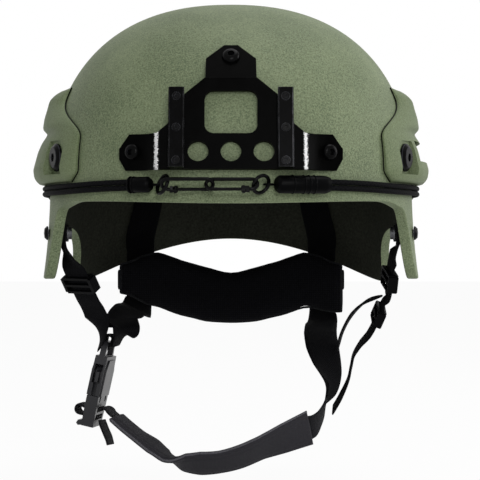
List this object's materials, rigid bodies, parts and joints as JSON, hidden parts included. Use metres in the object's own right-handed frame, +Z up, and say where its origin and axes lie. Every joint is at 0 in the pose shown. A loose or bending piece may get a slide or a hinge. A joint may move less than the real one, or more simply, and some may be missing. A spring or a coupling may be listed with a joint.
{
  "type": "combat helmet",
  "caption": "Olive combat helmet with ear flaps, front mounting plate, side rails, hooked elastic cords, foam pads, nape pad and a chin strap with a side-release buckle.",
  "frame": {"origin": "on the symmetry plane of the shell, level with the lower ends of the ear flaps, where the head carries the helmet", "axes": "+Z up, the front faces -Y, +X is the wearer's left"},
  "size_m": [0.259, 0.293, 0.3095],
  "materials": {
    "shell_paint": "matt olive-green paint over moulded composite",
    "rail_polymer": "moulded olive-green polymer",
    "plain_steel": "dark zinc finish",
    "black_metal": "black coating",
    "buckle_polymer": "moulded black polymer",
    "webbing": "woven black webbing",
    "sleeve_rubber": "ribbed black rubber",
    "cord_elastic": "braided black elastic",
    "chin_cup_cover": "dark grey soft cover",
    "nape_pad_cover": "black padded cover",
    "hook_and_loop": "black hook-and-loop tape",
    "pad_cover": "dark foliage foam in a fabric cover"
  },
  "bodies": {
    "helmet": {"shell": "shell_paint", "rail_right": "rail_polymer", "rail_left": "rail_polymer", "rail_bolts": "black_metal", "rail_nuts": "plain_steel", "mounting_plate": "black_metal", "dovetail_bar_right": "black_metal", "dovetail_bar_left": "black_metal", "dovetail_screws": "black_metal", "plate_screws": "black_metal", "plate_nuts": "plain_steel", "strap_bolts": "black_metal", "strap_nuts": "plain_steel", "crown_pad": "pad_cover", "front_pad": "pad_cover", "rear_pad": "pad_cover", "side_pad_front_right": "pad_cover", "side_pad_front_left": "pad_cover", "side_pad_rear_right": "pad_cover", "side_pad_rear_left": "pad_cover", "pad_discs": "hook_and_loop", "front_strap_right": "webbing", "front_strap_left": "webbing", "rear_strap_right": "webbing", "rear_strap_left": "webbing", "nape_pad": "nape_pad_cover", "nape_loop_right": "webbing", "nape_loop_left": "webbing", "slack_strap": "webbing", "buckle_housing": "buckle_polymer", "buckle_webbing": "webbing", "chin_cup": "chin_cup_cover", "chin_webbing_left": "webbing", "cord_right": "cord_elastic", "cord_left": "cord_elastic", "cord_sleeve_right": "sleeve_rubber", "cord_sleeve_left": "sleeve_rubber", "cord_ring_right": "black_metal", "cord_ring_left": "black_metal", "hook_right": "black_metal", "hook_left": "black_metal"},
    "plug": {"buckle_plug": "buckle_polymer", "plug_webbing": "webbing", "strap_tail": "webbing", "chin_webbing_right": "webbing"},
    "front_prong": {"prong_front": "buckle_polymer"},
    "rear_prong": {"prong_rear": "buckle_polymer"},
    "right_gate": {"hook_gate_right": "black_metal"},
    "left_gate": {"hook_gate_left": "black_metal"},
    "right_slider": {"slider_right": "buckle_polymer"},
    "left_slider": {"slider_left": "buckle_polymer"},
    "adjuster": {"strap_adjuster": "buckle_polymer"}
  },
  "joints": [
    {"name": "buckle_release", "type": "slide", "parent": "helmet", "child": "plug", "axis": [-0.2147, 0, -0.9767], "range_m": [0, 0.026]},
    {"name": "prong_front_squeeze", "type": "hinge", "parent": "plug", "child": "front_prong", "pos_m": [-0.08984, -0.01012, -0.07916], "axis": [0.9672, -0.1392, -0.2126], "range_deg": [-8, 0], "stiffness_Nm_per_rad": 0.05},
    {"name": "prong_rear_squeeze", "type": "hinge", "parent": "plug", "child": "rear_prong", "pos_m": [-0.08761, 0.00612, -0.07965], "axis": [0.9672, -0.1392, -0.2126], "range_deg": [0, 8], "stiffness_Nm_per_rad": 0.05},
    {"name": "right_hook_gate", "type": "hinge", "parent": "helmet", "child": "right_gate", "pos_m": [-0.03229, -0.14431, 0.05455], "axis": [-0.0432, -0.7975, -0.6018], "range_deg": [0, 20], "stiffness_Nm_per_rad": 0.01},
    {"name": "left_hook_gate", "type": "hinge", "parent": "helmet", "child": "left_gate", "pos_m": [0.00729, -0.15079, 0.05455], "axis": [0.0432, 0.7975, -0.6018], "range_deg": [0, 20], "stiffness_Nm_per_rad": 0.01},
    {"name": "right_slider_slide", "type": "slide", "parent": "helmet", "child": "right_slider", "axis": [0.3369, 0.428, -0.8387], "range_m": [-0.003, 0.003]},
    {"name": "left_slider_slide", "type": "slide", "parent": "helmet", "child": "left_slider", "axis": [-0.0806, 0.275, -0.9581], "range_m": [-0.003, 0.003]},
    {"name": "adjuster_slide", "type": "slide", "parent": "helmet", "child": "adjuster", "axis": [-0.3663, 0.2775, -0.8881], "range_m": [-0.0025, 0.0025]}
  ],
  "couplings": [
    {"joint": "prong_rear_squeeze", "follows": "prong_front_squeeze", "ratio": -1}
  ]
}
